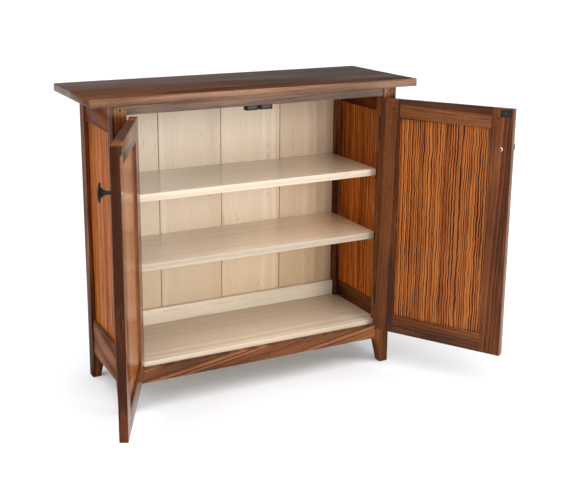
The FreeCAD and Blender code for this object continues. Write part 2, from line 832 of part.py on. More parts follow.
# Back boards: upright, lapped over each other, screwed to both back rails
for index in range(SIZES["back_board_count"]):
    name = "back_board_%d" % (index + 1)
    left = "(%d - back_board_count / 2) * back_board_width" % index
    last = index == SIZES["back_board_count"] - 1
    bottom = "back_board_bottom"
    tall = "leg_length - back_board_bottom"
    gap = "0" if last else "board_gap"
    wide = "back_board_width - %s" % gap
    plank = box(name + "_plank", left, "back_board_face", bottom, wide, "back_board_thickness", tall)
    pieces = [plank]
    if not last:
        tongue_x = "%s + back_board_width - 2 * board_gap" % left
        tongue_width = "board_lap + board_gap"
        tongue_y = "back_board_face + board_tongue + joint_play"
        tongue_depth = "board_tongue - joint_play"
        pieces.append(box(name + "_tongue", tongue_x, tongue_y, bottom, tongue_width, tongue_depth, tall))
    plank = fuse(name + "_solid", pieces) if len(pieces) > 1 else plank
    tools = [screw for screw in back_screws if screw.Name.endswith("_%d" % index)]
    if index > 0:
        lap_y = "back_board_face + board_tongue"
        tools.append(box(name + "_lap", left, lap_y, bottom, "board_lap", "board_tongue", tall))
    node(name, cut(name + "_lapped", plank, tools))

# Shelves: plain boards between the legs, resting on pins
for level in ("lower", "upper"):
    node(
        "shelf_" + level,
        slab(
            "shelf_board_" + level,
            "0 - leg_inside + shelf_side_gap",
            "shelf_front",
            level + "_shelf_bottom",
            "opening_width - 2 * shelf_side_gap",
            "shelf_back - shelf_front",
            "shelf_thickness",
            "shelf_easing",
        ),
    )

# Wooden buttons: each tongue holds the top down and lets it move
buttons = []
button_screws = []
tongue = "button_tongue"
for side in ("left", "right"):
    for end in ("front", "rear"):
        name = "button_%s_%s" % (side, end)
        x = mirror_x(side, "side_rail_inside - button_length", "button_length")
        y = mirror_y(end, "button_side_place - button_width / 2", "button_width")
        size = ("button_length", "button_width", "button_height")
        block = box(name + "_block", x, y, "button_bottom", *size)
        x = mirror_x(side, "side_rail_inside", tongue)
        size = (tongue, "button_width", "button_tongue_height")
        lip = box(name + "_tongue", x, y, "button_bottom", *size)
        x = side_x(side, "side_rail_inside - button_length / 2")
        y = "button_side_place" if end == "rear" else "0 - button_side_place"
        size = ("button_screw_diameter", "button_screw_length")
        screw = rod(name + "_screw", "up", x, y, "button_bottom", *size)
        button_screws.append(screw)
        buttons.append(cut(name, fuse(name + "_solid", [block, lip]), [screw]))
    name = "button_%s_back" % side
    x = side_x(side, "button_back_place") + " - button_width / 2"
    y = "back_rail_face - button_length"
    block = box(name + "_block", x, y, "button_bottom", "button_width", "button_length", "button_height")
    lip = box(
        name + "_tongue", x, "back_rail_face", "button_bottom", "button_width", tongue, "button_tongue_height"
    )
    x = side_x(side, "button_back_place")
    y = "back_rail_face - button_length / 2"
    screw = rod(name + "_screw", "up", x, y, "button_bottom", "button_screw_diameter", "button_screw_length")
    button_screws.append(screw)
    buttons.append(cut(name, fuse(name + "_solid", [block, lip]), [screw]))
node("top_buttons", group("button_set", buttons))
node("button_screws", group("button_screw_set", button_screws))
NODES["top"] = cut("top_bored", NODES["top"], button_screws)
NODES["top"].Base.Label = "top_slab"
NODES["top"].Label = "top"

# Magnetic catches under the front top rail, one for each door
magnets = []
for side in ("left", "right"):
    name = "catch_body_" + side
    x = side_x(side, "catch_centre") + " - catch_width / 2"
    size = ("catch_width", "catch_depth", "catch_height")
    shell = box(name + "_block", x, "catch_face", "catch_bottom", *size)
    x = side_x(side, "catch_centre") + " - magnet_width / 2"
    z = "catch_bottom + magnet_drop"
    size = ("magnet_width", "magnet_depth", "magnet_height")
    magnet = box("catch_magnet_" + side, x, "catch_face", z, *size)
    magnets.append(magnet)
    node(name, cut(name + "_solid", shell, [magnet] + catch_screws))
node("catch_magnets", group("catch_magnet_set", magnets))


# Doors: two stiles, two rails and a floating panel each, drawn shut
def door_rail_tenons(name, side, bottom, grow):
    """A door rail's tenons into both stiles, or their mortises when grown by the play."""
    tenons = []
    length = "door_tenon_length + %s" % grow
    for start in (
        "door_free_edge + stile_width - door_tenon_length - %s" % grow,
        "door_hinge_edge - stile_width",
    ):
        label = "%s_%s_%d" % (name, side, len(tenons))
        x = mirror_x(side, start, length)
        y = "door_tenon_face - %s" % grow
        z = "(%s) + door_tenon_shoulder - %s" % (bottom, grow)
        depth = "door_tenon_thickness + 2 * %s" % grow
        tall = "door_rail_height - 2 * door_tenon_shoulder + 2 * %s" % grow
        tenons.append(box(label, x, y, z, length, depth, tall))
    return tenons


def door_groove(name, side, grow):
    """The space of a door's panel, or its groove when grown by the panel's play."""
    wide = "door_width - 2 * stile_width + 2 * groove_depth"
    x = mirror_x(side, "door_free_edge + stile_width - groove_depth", wide)
    z = "door_bottom + door_rail_height - groove_depth"
    tall = "door_height - 2 * door_rail_height + 2 * groove_depth"
    y = "door_panel_face - %s" % grow
    return box(name, x, y, z, wide, "door_panel_thickness + 2 * %s" % grow, tall)


def knob_body(name, side):
    """A trumpet-shaped knob, turned about its own axis and bored for its screw."""
    body = doc.addObject("PartDesign::Body", name)
    sketch = body.newObject("Sketcher::SketchObject", name + "_profile")
    sketch.AttachmentSupport = [(plane_of(body, "XY_Plane"), "")]
    sketch.MapMode = "FlatFace"
    bind(sketch, "AttachmentOffset.Base.x", side_x(side, "knob_place"))
    bind(sketch, "AttachmentOffset.Base.y", "door_face")
    bind(sketch, "AttachmentOffset.Base.z", "knob_height")
    bore = SIZES["knob_screw_diameter"] / 2
    neck = SIZES["knob_neck_radius"]
    head = SIZES["knob_head_radius"]
    foot = SIZES["knob_base_radius"]
    base = SIZES["knob_base_thickness"]
    neck_end = base + SIZES["knob_neck_length"]
    flare_end = neck_end + SIZES["knob_flare"]
    rim_end = flare_end + SIZES["knob_rim"]
    dome_end = rim_end + SIZES["knob_dome"]
    bite = SIZES["knob_screw_bite"]
    to_neck_end = "knob_base_thickness + knob_neck_length"
    to_flare_end = to_neck_end + " + knob_flare"
    to_rim_end = to_flare_end + " + knob_rim"
    points = [
        ((0, bite), ("0", "knob_screw_bite")),
        ((bore, bite), ("knob_screw_diameter / 2", "knob_screw_bite")),
        ((bore, 0), ("knob_screw_diameter / 2", "0")),
        ((foot, 0), ("knob_base_radius", "0")),
        ((neck, base), ("knob_neck_radius", "knob_base_thickness")),
        ((neck, neck_end), ("knob_neck_radius", to_neck_end)),
        ((head, flare_end), ("knob_head_radius", to_flare_end)),
        ((head, rim_end), ("knob_head_radius", to_rim_end)),
        ((0, dome_end), ("0", to_rim_end + " + knob_dome")),
    ]
    corners = [Vector(shape[0], -shape[1], 0) for shape, _ in points]
    flare = 5
    for index in range(len(corners)):
        following = corners[(index + 1) % len(corners)]
        if index == flare:
            out = neck + (head - neck) * KNOB_BEND_SHARE
            forward = neck_end + (flare_end - neck_end) * (1 - KNOB_BEND_SHARE)
            middle = Vector(out, -forward, 0)
            sketch.addGeometry(Part.Arc(corners[index], middle, following), False)
        else:
            sketch.addGeometry(Part.LineSegment(corners[index], following), False)
    ends = []
    for index in range(len(corners)):
        geometry = sketch.Geometry[index]
        turned = index == flare and not geometry.StartPoint.isEqual(corners[index], SIZES["joint_play"])
        ends.append((2, 1) if turned else (1, 2))
    for index in range(len(corners)):
        following = (index + 1) % len(corners)
        kind = "Tangent" if following == flare else "Coincident"
        sketch.addConstraint(Sketcher.Constraint(kind, index, ends[index][1], following, ends[following][0]))
    for index, ((across, along), (across_text, along_text)) in enumerate(points):
        wanted = (("DistanceX", across, across_text), ("DistanceY", -along, "0 - (%s)" % along_text))
        for kind, datum, text in wanted:
            constraint = sketch.addConstraint(Sketcher.Constraint(kind, -1, 1, index, ends[index][0], datum))
            bind(sketch, "Constraints[%d]" % constraint, text)
    turned_body = body.newObject("PartDesign::Revolution", name + "_turning")
    turned_body.Profile = sketch
    turned_body.ReferenceAxis = (sketch, ["V_Axis"])
    turned_body.Angle = 360
    sketch.Visibility = False
    body.Tip = turned_body
    return body


for side in ("left", "right"):
    pegs = []
    for level, z in (
        ("low", "door_bottom + door_rail_height / 2"),
        ("high", "door_top - door_rail_height / 2"),
    ):
        for edge, x in (
            ("free", "door_free_edge + door_peg_inset"),
            ("hinge", "door_hinge_edge - door_peg_inset"),
        ):
            name = "door_peg_%s_%s_%s" % (side, level, edge)
            peg_x = side_x(side, x)
            pegs.append(rod(name, "back", peg_x, "door_face", z, "door_peg_diameter", "door_thickness"))

    x = side_x(side, "knob_place")
    start = "door_face - knob_screw_bite"
    shank_length = "knob_screw_bite + door_thickness"
    shank = rod("knob_shank_" + side, "back", x, start, "knob_height", "knob_screw_diameter", shank_length)
    head = cone(
        "knob_screw_head_" + side,
        "back",
        x,
        "door_back",
        "knob_height",
        "knob_screw_head",
        "knob_screw_head / 2",
        "knob_screw_head_height",
    )
    knob_screw = fuse("knob_screw_solid_" + side, [shank, head])

    x = side_x(side, "catch_centre")
    z = "plate_top - plate_height / 2"
    plate_shank = rod(
        "plate_shank_" + side,
        "front",
        x,
        "door_back + plate_thickness",
        z,
        "plate_screw_diameter",
        "plate_screw_length",
    )
    plate_head = cone(
        "plate_screw_head_" + side,
        "front",
        x,
        "door_back + plate_thickness",
        z,
        "plate_screw_head",
        "plate_screw_diameter",
        "plate_screw_head_height",
    )
    plate_screw = fuse("plate_screw_solid_" + side, [plate_shank, plate_head])
    corner = side_x(side, "catch_centre") + " - plate_width / 2"
    plate_block = box(
        "plate_block_" + side,
        corner,
        "door_back",
        "plate_top - plate_height",
        "plate_width",
        "plate_thickness",
        "plate_height",
    )
    plate = cut("plate_solid_" + side, plate_block, [plate_screw])

    edges = {"free": "door_free_edge", "hinge": "door_hinge_edge - stile_width"}
    pieces = {}
    for edge, start in edges.items():
        name = "door_%s_stile_%s" % (side, edge)
        x = mirror_x(side, start, "stile_width")
        size = ("stile_width", "door_thickness", "door_height")
        bar = box(name + "_bar", x, "door_face", "door_bottom", *size)
        tools = [door_groove(name + "_groove", side, "joint_play")] + pegs
        tools += door_rail_tenons(name + "_mortise_low", side, "door_bottom", "joint_play")
        tools += door_rail_tenons(name + "_mortise_high", side, "door_top - door_rail_height", "joint_play")
        if edge == "free":
            tools += [knob_screw, plate_screw]
        else:
            tools += hinge_mortises(name + "_bed", side, "door") + HINGE_SCREWS[side, "door"]
        pieces["%s_stile" % edge] = cut(name + "_worked", bar, tools)
    for level, bottom in (("bottom", "door_bottom"), ("top", "door_top - door_rail_height")):
        name = "door_%s_rail_%s" % (side, level)
        length = "door_width - 2 * stile_width"
        x = mirror_x(side, "door_free_edge + stile_width", length)
        bar = box(name + "_bar", x, "door_face", bottom, length, "door_thickness", "door_rail_height")
        solid = fuse(name + "_solid", [bar] + door_rail_tenons(name + "_tenon", side, bottom, "0"))
        groove = door_groove(name + "_groove", side, "joint_play")
        pieces["%s_rail" % level] = cut(name + "_grooved", solid, [groove] + pegs)
    length = "door_width - 2 * stile_width + 2 * groove_depth - 2 * panel_play"
    x = mirror_x(side, "door_free_edge + stile_width - groove_depth + panel_play", length)
    z = "door_bottom + door_rail_height - groove_depth"
    tall = "door_height - 2 * door_rail_height + 2 * groove_depth - panel_play"
    pieces["panel"] = box(
        "door_panel_board_" + side, x, "door_panel_face", z, length, "door_panel_thickness", tall
    )
    pieces["pegs"] = group("door_peg_set_" + side, pegs)
    pieces["knob"] = knob_body("knob_body_" + side, side)
    pieces["knob_screw"] = knob_screw
    pieces["strike_plate"] = plate
    pieces["strike_screw"] = plate_screw
    pieces["hinge_leaves"] = group("door_hinge_leaf_set_" + side, HINGE_LEAVES[side, "door"])
    pieces["hinge_screws"] = group("door_hinge_screw_set_" + side, HINGE_SCREWS[side, "door"])
    for name, piece in pieces.items():
        opened = group("opened_%s_%s" % (side, name), [piece])
        swing(opened, side)
        node("door_%s_%s" % (side, name), opened)
    node("case_hinge_leaves_" + side, group("case_hinge_leaf_set_" + side, HINGE_LEAVES[side, "case"]))

case_screws = HINGE_SCREWS["left", "case"] + HINGE_SCREWS["right", "case"]
node("case_hinge_screws", group("case_hinge_screw_set", case_screws))

doc.recompute()

# Every object has to be sound before a piece is written
for piece in doc.Objects:
    if "Invalid" in piece.State or "Error" in piece.State:
        raise RuntimeError("%s is in state %s" % (piece.Name, piece.State))
for name, piece in NODES.items():
    if piece.Shape.isNull() or not piece.Shape.isValid() or not piece.Shape.Solids:
        raise RuntimeError("%s has no sound solid" % name)

os.makedirs("parts", exist_ok=True)
for name, piece in NODES.items():
    piece.Shape.exportStep("parts/%s.step" % name)
print("%d nodes" % len(NODES))
for name, piece in NODES.items():
    extent = piece.Shape.BoundBox
    low = "%8.1f %8.1f %8.1f" % (extent.XMin, extent.YMin, extent.ZMin)
    high = "%8.1f %8.1f %8.1f" % (extent.XMax, extent.YMax, extent.ZMax)
    print("%-26s %2d solids  %s  %s" % (name, len(piece.Shape.Solids), low, high))
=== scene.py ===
# A free-standing side cabinet in walnut, with striped panels and a pale maple inside.
# Metres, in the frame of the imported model: X along the width, Y to the back, Z up.
import math
import bmesh
import bpy
from mathutils import Matrix, Vector


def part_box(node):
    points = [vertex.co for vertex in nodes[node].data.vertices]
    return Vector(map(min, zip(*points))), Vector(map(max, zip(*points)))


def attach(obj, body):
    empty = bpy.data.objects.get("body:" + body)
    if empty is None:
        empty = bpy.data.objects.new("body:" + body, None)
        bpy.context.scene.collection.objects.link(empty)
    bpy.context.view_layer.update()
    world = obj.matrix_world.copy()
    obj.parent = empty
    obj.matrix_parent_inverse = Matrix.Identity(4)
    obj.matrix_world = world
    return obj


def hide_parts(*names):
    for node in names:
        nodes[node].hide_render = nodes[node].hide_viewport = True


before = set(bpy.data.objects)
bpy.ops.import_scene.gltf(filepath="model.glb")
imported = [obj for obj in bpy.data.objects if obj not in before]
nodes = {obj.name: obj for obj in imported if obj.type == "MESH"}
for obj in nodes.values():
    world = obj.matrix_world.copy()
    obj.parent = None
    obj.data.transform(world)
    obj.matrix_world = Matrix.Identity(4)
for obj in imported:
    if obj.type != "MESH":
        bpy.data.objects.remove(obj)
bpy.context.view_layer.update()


# The top: one wide slab of walnut, planed and oiled, its grain running along the cabinet.
# All its arrises are eased, and dark end grain shows at both ends. Buttons hold it from below.
def add(tree, kind, inputs, **settings):
    """One shader node, with its inputs set or linked."""
    made = tree.nodes.new("ShaderNode" + kind)
    for key, value in settings.items():
        setattr(made, key, value)
    for key, value in inputs.items():
        if isinstance(value, bpy.types.NodeSocket):
            tree.links.new(value, made.inputs[key])
        else:
            made.inputs[key].default_value = value
    return made


def sums(tree, operation, first, second):
    """The result of one sum on two numbers."""
    return add(tree, "Math", {0: first, 1: second}, operation=operation).outputs[0]


def swing(tree, number, size):
    """How far a number is from its middle, made larger or smaller."""
    return sums(tree, "MULTIPLY", sums(tree, "SUBTRACT", number, 0.5), size)


def total(tree, *numbers):
    """All the numbers added up."""
    result = numbers[0]
    for number in numbers[1:]:
        result = sums(tree, "ADD", result, number)
    return result


def vectors(tree, operation, first, second):
    """The vector that one sum on two vectors gives."""
    return add(tree, "VectorMath", {0: first, 1: second}, operation=operation).outputs[0]


def ramp(tree, factor, stops):
    """Colours spread over a number between 0 and 1."""
    made = add(tree, "ValToRGB", {"Fac": factor})
    bar = made.color_ramp.elements
    while len(bar) < len(stops):
        bar.new(0.5)
    for stop, (position, colour) in zip(bar, stops):
        stop.position = position
        stop.color = (*colour, 1)
    return made.outputs["Color"]


def mixed(tree, how_far, colour, other, mode="MIX"):
    """A colour taken some way to another, or some way to being multiplied by it."""
    return add(tree, "MixRGB", {0: how_far, 1: colour, 2: other}, blend_type=mode).outputs[0]


def new_finish(name, roughness, **fixed):
    """A material with its fixed values on the shader itself."""
    material = bpy.data.materials.new(name)
    material.use_nodes = True
    shader = material.node_tree.nodes["Principled BSDF"]
    shader.inputs["Roughness"].default_value = roughness
    for socket, value in fixed.items():
        shader.inputs[socket.replace("_", " ")].default_value = value
    return material, material.node_tree, shader


def uneven_sheen(tree, shader, number, low, high, grip):
    """Roughness about the given grip, a little rougher where the number is low."""
    rough = ramp(tree, number, [(low[0], (grip * low[1],) * 3), (high[0], (grip * high[1],) * 3)])
    tree.links.new(rough, shader.inputs["Roughness"])


def raised(tree, shader, height, strength, distance):
    """Fine relief in the surface."""
    made = add(tree, "Bump", {"Strength": strength, "Distance": distance, "Height": height})
    tree.links.new(made.outputs[0], shader.inputs["Normal"])


def middle(name):
    """The middle of a CAD node at rest."""
    low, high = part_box(name)
    return (Vector(low) + Vector(high)) / 2


# Every board is taken from a stretch of its own, further along the log than the one before.
LOG_STEP = 1.7
BOARDS = []


def grain_place(tree, name, turn, heart):
    """Coordinates with Z along a board's grain and the tree's heart at the given distance."""
    slide = Vector((0, 0, LOG_STEP * len(BOARDS)))
    BOARDS.append(name)
    where = add(tree, "TexCoord", {}).outputs["Object"]
    move = heart + slide - turn @ middle(name)
    mapped = add(tree, "Mapping", {"Vector": where, "Rotation": turn.to_euler(), "Location": move})
    return mapped.outputs["Vector"]


def noise(tree, place, scale, detail=2.0, rough=0.5, stretch=1.0):
    """Noise in space, stretched along the grain."""
    long = vectors(tree, "MULTIPLY", place, (1, 1, stretch))
    inputs = {"Vector": long, "Scale": scale, "Detail": detail, "Roughness": rough}
    return add(tree, "TexNoise", inputs).outputs[0]


def line_noise(tree, number, scale, detail=2.0, rough=0.5):
    """Noise along one number, which draws uneven lines."""
    inputs = {"W": number, "Scale": scale, "Detail": detail, "Roughness": rough}
    return add(tree, "TexNoise", inputs, noise_dimensions="1D").outputs[0]


def waver(tree, place, scale, stretch, size):
    """A small sideways shift that changes slowly along the grain."""
    return swing(tree, noise(tree, place, scale, detail=1.5, stretch=stretch), size)


def ring_distance(tree, place, drift, ripple):
    """The distance from the tree's heart, wavering as growth rings do."""
    flat = vectors(tree, "MULTIPLY", place, (1, 1, 0))
    radius = add(tree, "VectorMath", {0: flat}, operation="LENGTH").outputs["Value"]
    slow = waver(tree, place, scale=6, stretch=0.25, size=drift)
    quick = waver(tree, place, scale=45, stretch=0.3, size=ripple)
    return total(tree, radius, slow, quick)


def reach(tree, place, heart, bounds, wobble=0.0):
    """How far a spot lies inside some bounds on the board being made, from 0 to 1.

    A bound is a direction in grain coordinates, and the two distances from the board's
    middle over which it comes into force.
    """
    board_middle = Vector(heart) + Vector((0, 0, LOG_STEP * (len(BOARDS) - 1)))
    offset = vectors(tree, "SUBTRACT", place, board_middle)
    inside = 1.0
    for direction, start, end in bounds:
        dot = add(tree, "VectorMath", {0: offset, 1: direction}, operation="DOT_PRODUCT")
        away = dot.outputs["Value"]
        if wobble:
            away = total(tree, away, waver(tree, place, scale=14, stretch=0.3, size=wobble))
        step = add(tree, "MapRange", {0: away, 1: start, 2: end, 3: 0.0, 4: 1.0}).outputs[0]
        inside = sums(tree, "MULTIPLY", step, inside)
    return inside


def walnut(name, turn, heart=(0.05, 0.14, 0), light=1.0, haze=0.9, gloss=0.12, grip=0.42,
           streak=0.7, figure=0.85, paler_parts=(), darker=()):
    """Oiled walnut for one board: growth rings, dark streaks, fibres and pores.

    Haze above 1 greys the wood, and below 1 reddens it. Streak and figure are how strong its
    broad and its narrow rings are, gloss is how much it shines, and grip how roughly. Paler_parts
    lists the parts of the board that are made pale, each by its bounds, and darker lists bounds
    with how much darker the board is made there, and lighter where the amount is below 0. Some of
    these parts are painted light and shade, as said where they are used.
    """
    material, tree, shader = new_finish("walnut_" + name, grip, Specular_IOR_Level=gloss)
    place = grain_place(tree, name, turn, Vector(heart))
    along = add(tree, "SeparateXYZ", {0: place}).outputs[2]
    lean = add(tree, "CombineXYZ", {0: sums(tree, "MULTIPLY", along, 0.03)}).outputs[0]
    leaned = vectors(tree, "ADD", place, lean)
    radius = ring_distance(tree, leaned, drift=0.022, ripple=0.0022)
    rings = line_noise(tree, radius, scale=120, detail=4.5, rough=0.62)
    broad = line_noise(tree, radius, scale=26, detail=1.5)
    clouds = noise(tree, place, scale=16, detail=2.5, rough=0.55, stretch=0.25)
    fibres = noise(tree, place, scale=520, detail=2.5, rough=0.65, stretch=0.03)
    pores = noise(tree, place, scale=1300, detail=1.0, stretch=0.05)
    tone = total(tree, swing(tree, rings, figure), swing(tree, broad, streak),
                 swing(tree, clouds, 0.5), swing(tree, fibres, 0.42), 0.5)
    for bounds, amount in darker:
        inside = reach(tree, place, heart, bounds, wobble=0.004)
        tone = sums(tree, "SUBTRACT", tone, sums(tree, "MULTIPLY", inside, amount))
    stops = [
        (0.24, (0.026, 0.0085, 0.0042)),
        (0.42, (0.078, 0.0255, 0.0095)),
        (0.56, (0.140, 0.0480, 0.0170)),
        (0.80, (0.270, 0.1050, 0.0400)),
    ]
    stops = [(at, (r * light, g * light * haze, b * light * haze ** 2)) for at, (r, g, b) in stops]
    colour = ramp(tree, tone, stops)
    for bounds in paler_parts:
        paler_colour = ramp(tree, tone, [(0.3, (0.12, 0.058, 0.032)), (0.7, (0.30, 0.160, 0.094))])
        colour = mixed(tree, reach(tree, place, heart, bounds, wobble=0.006), colour, paler_colour)
    pits = ramp(tree, pores, [(0.32, (0.5, 0.45, 0.4)), (0.40, (1, 1, 1))])
    colour = mixed(tree, 1.0, colour, pits, "MULTIPLY")
    tree.links.new(colour, shader.inputs["Base Color"])
    uneven_sheen(tree, shader, tone, (0.25, 1.15), (0.75, 0.9), grip)
    raised(tree, shader, pores, strength=0.25, distance=0.0003)
    return material


def dress(name, material):
    """Give a CAD node its finish."""
    mesh = nodes[name].data
    mesh.materials.clear()
    mesh.materials.append(material)


def finer(name, material, width=0.0, shortest=0.012):
    """A merged copy of a CAD node that stands for it, smooth on its curves.

    With a width, its outer arrises that are longer than the shortest are rounded over.
    """
    bpy.ops.object.select_all(action="DESELECT")
    piece = bpy.data.objects.new("fine_" + name, nodes[name].data.copy())
    bpy.context.scene.collection.objects.link(piece)
    piece.select_set(True)
    bpy.context.view_layer.objects.active = piece
    bpy.ops.object.mode_set(mode="EDIT")
    bpy.ops.mesh.select_mode(type="EDGE")
    bpy.ops.mesh.select_all(action="SELECT")
    bpy.ops.mesh.remove_doubles(threshold=0.000002)
    if width:
        bpy.ops.mesh.dissolve_limited(angle_limit=math.radians(0.2))
        bpy.ops.mesh.select_all(action="DESELECT")
        form = bmesh.from_edit_mesh(piece.data)
        for edge in form.edges:
            sharp = edge.is_manifold and edge.is_convex and edge.calc_face_angle() > 0.9
            edge.select_set(sharp and edge.calc_length() > shortest)
        bmesh.update_edit_mesh(piece.data)
        bpy.ops.mesh.bevel(offset=width, segments=2, affect="EDGES")
    bpy.ops.object.mode_set(mode="OBJECT")
    bpy.ops.object.shade_smooth_by_angle(angle=math.radians(35))
    piece.data.materials.clear()
    piece.data.materials.append(material)
    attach(piece, "_".join(name.split("_")[:2]) if name.startswith("door_") else "case")
    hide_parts(name)
    return piece


# Turns that bring a board's grain upright, where it runs up, along X or along Y in the cabinet.
UPRIGHT = Matrix.Identity(3)
ALONG_X = Matrix.Rotation(math.pi / 2, 3, "Y")
ALONG_Y = Matrix.Rotation(math.pi / 2, 3, "X")

# Directions for the bounds of pale and dark parts. The last one is for a board along X.
FRONT, LEFT, UP = Vector((0, -1, 0)), Vector((-1, 0, 0)), Vector((0, 0, 1))
RIGHT_ALONG = Vector((0, 0, -1))

# The top's front edge is made paler towards the right end, and its upper face darker towards the
# right end.
top_front_edge = [(FRONT, 0.155, 0.166), (RIGHT_ALONG, -0.9, 0.0)]
top_right_face = [(RIGHT_ALONG, -0.3, 0.5), (-FRONT, -0.162, -0.154)]
top_wood = walnut("top", ALONG_X, heart=(0.03, 0.13, 0), light=0.69, haze=1.0, gloss=0.16,
                  grip=0.34, streak=0.4, paler_parts=[top_front_edge], darker=[(top_right_face, 0.19)])
finer("top", top_wood)


# Four legs: square walnut posts up to the top, tapered at the foot on their two inner faces.
# The rails are tenoned into them, and rows of shelf pin holes are bored in their inner faces.
leg_top = [(UP, 0.366, 0.378)]
lit_leg_inside = [(LEFT, 0.010, 0.0165), (UP, -0.36, -0.30)]
leg_looks = {
    "front_left": dict(light=1.05, gloss=0.03, paler_parts=[leg_top]),
    # Painted light: above its foot, the front right leg's inner face is made lighter, by a darker
    # amount below 0.
    "front_right": dict(light=0.8, gloss=0.05, paler_parts=[leg_top], darker=[(lit_leg_inside, -0.42)]),
    "rear_left": dict(light=0.9, gloss=0.03),
    "rear_right": dict(light=1.3, gloss=0.05),
}
for place, look in leg_looks.items():
    name = "leg_" + place
    finer(name, walnut(name, UPRIGHT, heart=(0.09, 0.05, 0), **look))


# Side frames: a walnut rail above and a deeper one below, tenoned between the legs.
# A striped hardwood panel floats in grooves between them, its grain upright.
def striped(name, turn, light=1.0, gloss=0.12, calm=1.0, grip=0.4):
    """Striped hardwood for one panel: dark wavering lines on golden and reddish brown.

    Calm is how much the lines waver.
    """
    material, tree, shader = new_finish("striped_" + name, grip, Specular_IOR_Level=gloss)
    place = grain_place(tree, name, turn, Vector((0, 0, 0)))
    across = total(
        tree,
        add(tree, "SeparateXYZ", {0: place}).outputs[0],
        waver(tree, place, scale=5, stretch=0.4, size=0.018),
        waver(tree, place, scale=26, stretch=0.9, size=0.0085 * calm),
        waver(tree, place, scale=80, stretch=0.9, size=0.0027 * calm),
    )
    fine = line_noise(tree, across, scale=560, detail=1.8, rough=0.62)
    broad = line_noise(tree, across, scale=42, detail=1.5)
    breaks = noise(tree, place, scale=85, detail=2.5, rough=0.6, stretch=0.09)
    fibres = noise(tree, place, scale=800, rough=0.6, stretch=0.035)
    base = total(tree, swing(tree, broad, 0.7), swing(tree, fine, 2.3), swing(tree, fibres, 0.6),
                 swing(tree, breaks, 0.3), 0.5)
    grounds = [
        (0.22, (0.125, 0.0220, 0.0040)),
        (0.42, (0.235, 0.0530, 0.0085)),
        (0.58, (0.330, 0.0950, 0.0165)),
        (0.80, (0.445, 0.1620, 0.0330)),
    ]
    ground = ramp(tree, base, [(at, tuple(part * light for part in tone)) for at, tone in grounds])

    line_spacing = 0.0068
    unevenness = swing(tree, line_noise(tree, across, scale=60), 14.0)
    turns = total(tree, sums(tree, "MULTIPLY", across, 2 * math.pi / line_spacing), unevenness)
    even = sums(tree, "MULTIPLY", sums(tree, "SINE", turns, 0), 0.2)
    strong = line_noise(tree, across, scale=300, detail=1.6, rough=0.6)
    dark = total(tree, swing(tree, strong, 0.7), even, 0.5, swing(tree, breaks, 0.4),
                 swing(tree, fine, 0.25))
    lines = ramp(tree, dark, [
        (0.31, (0.05, 0.03, 0.025)),
        (0.37, (0.25, 0.17, 0.14)),
        (0.42, (0.60, 0.48, 0.40)),
        (0.47, (1, 1, 1)),
    ])
    tree.links.new(mixed(tree, 1.0, ground, lines, "MULTIPLY"), shader.inputs["Base Color"])
    uneven_sheen(tree, shader, fibres, (0.3, 1.15), (0.7, 0.9), grip)
    raised(tree, shader, fibres, strength=0.2, distance=0.0003)
    return material


RAIL_ARRIS = 0.0007
PANEL_TURN = Matrix.Rotation(-math.pi / 2, 3, "Z")
side_lights = {
    "left": dict(top=1.2, bottom=1.38, panel=1.4),
    # Painted light: the right panel, whose inner face shows inside the cabinet, is made much
    # brighter than the left one.
    "right": dict(top=0.9, bottom=0.9, panel=1.95),
}
for side, lights in side_lights.items():
    for level, haze in (("top", 0.65), ("bottom", 1.0)):
        name = f"side_{level}_rail_{side}"
        rail = walnut(name, ALONG_Y, heart=(0.05, 0.09, 0), light=lights[level], haze=haze,
                      gloss=0.02)
        finer(name, rail, RAIL_ARRIS)
    name = f"side_panel_{side}"
    dress(name, striped(name, PANEL_TURN, light=lights["panel"], gloss=0.02, calm=0.6))


# Front rails: a shallow one under the top, and a deeper one rabbeted for the bottom panel.
# Both stand a little behind the legs' faces. Pegs through the legs pin the upper one.
# Painted sheen: the upper rail's colour is greyed, with haze above 1, on top of its real gloss.
top_rail = walnut("front_top_rail", ALONG_X, heart=(0.08, 0.05, 0), light=1.32, haze=1.62,
                  gloss=0.45, streak=0.45)
finer("front_top_rail", top_rail, RAIL_ARRIS)
SLOPING_GRAIN = Matrix.Rotation(0.12, 3, "Y") @ ALONG_X
bottom_rail = walnut("front_bottom_rail", SLOPING_GRAIN, heart=(0.03, 0.02, 0), light=1.25,
                     haze=1.02, streak=0.4)
finer("front_bottom_rail", bottom_rail, RAIL_ARRIS)


def dark_peg(name):
    """Dark end grain, oiled."""
    material, tree, shader = new_finish("peg_" + name, 0.5, Specular_IOR_Level=0.1)
    place = add(tree, "TexCoord", {}).outputs["Object"]
    spots = noise(tree, place, scale=1800, rough=0.6)
    colour = ramp(tree, spots, [(0.35, (0.012, 0.006, 0.004)), (0.65, (0.05, 0.022, 0.012))])
    tree.links.new(colour, shader.inputs["Base Color"])
    return material


dress("rail_pegs", dark_peg("rail"))


# Back rails: plain walnut, tenoned between the rear legs.
# The back boards are screwed to both, and the lower one carries the bottom panel.
for name in ("back_top_rail", "back_bottom_rail"):
    finer(name, walnut(name, ALONG_X, heart=(0.07, 0.05, 0)), RAIL_ARRIS)


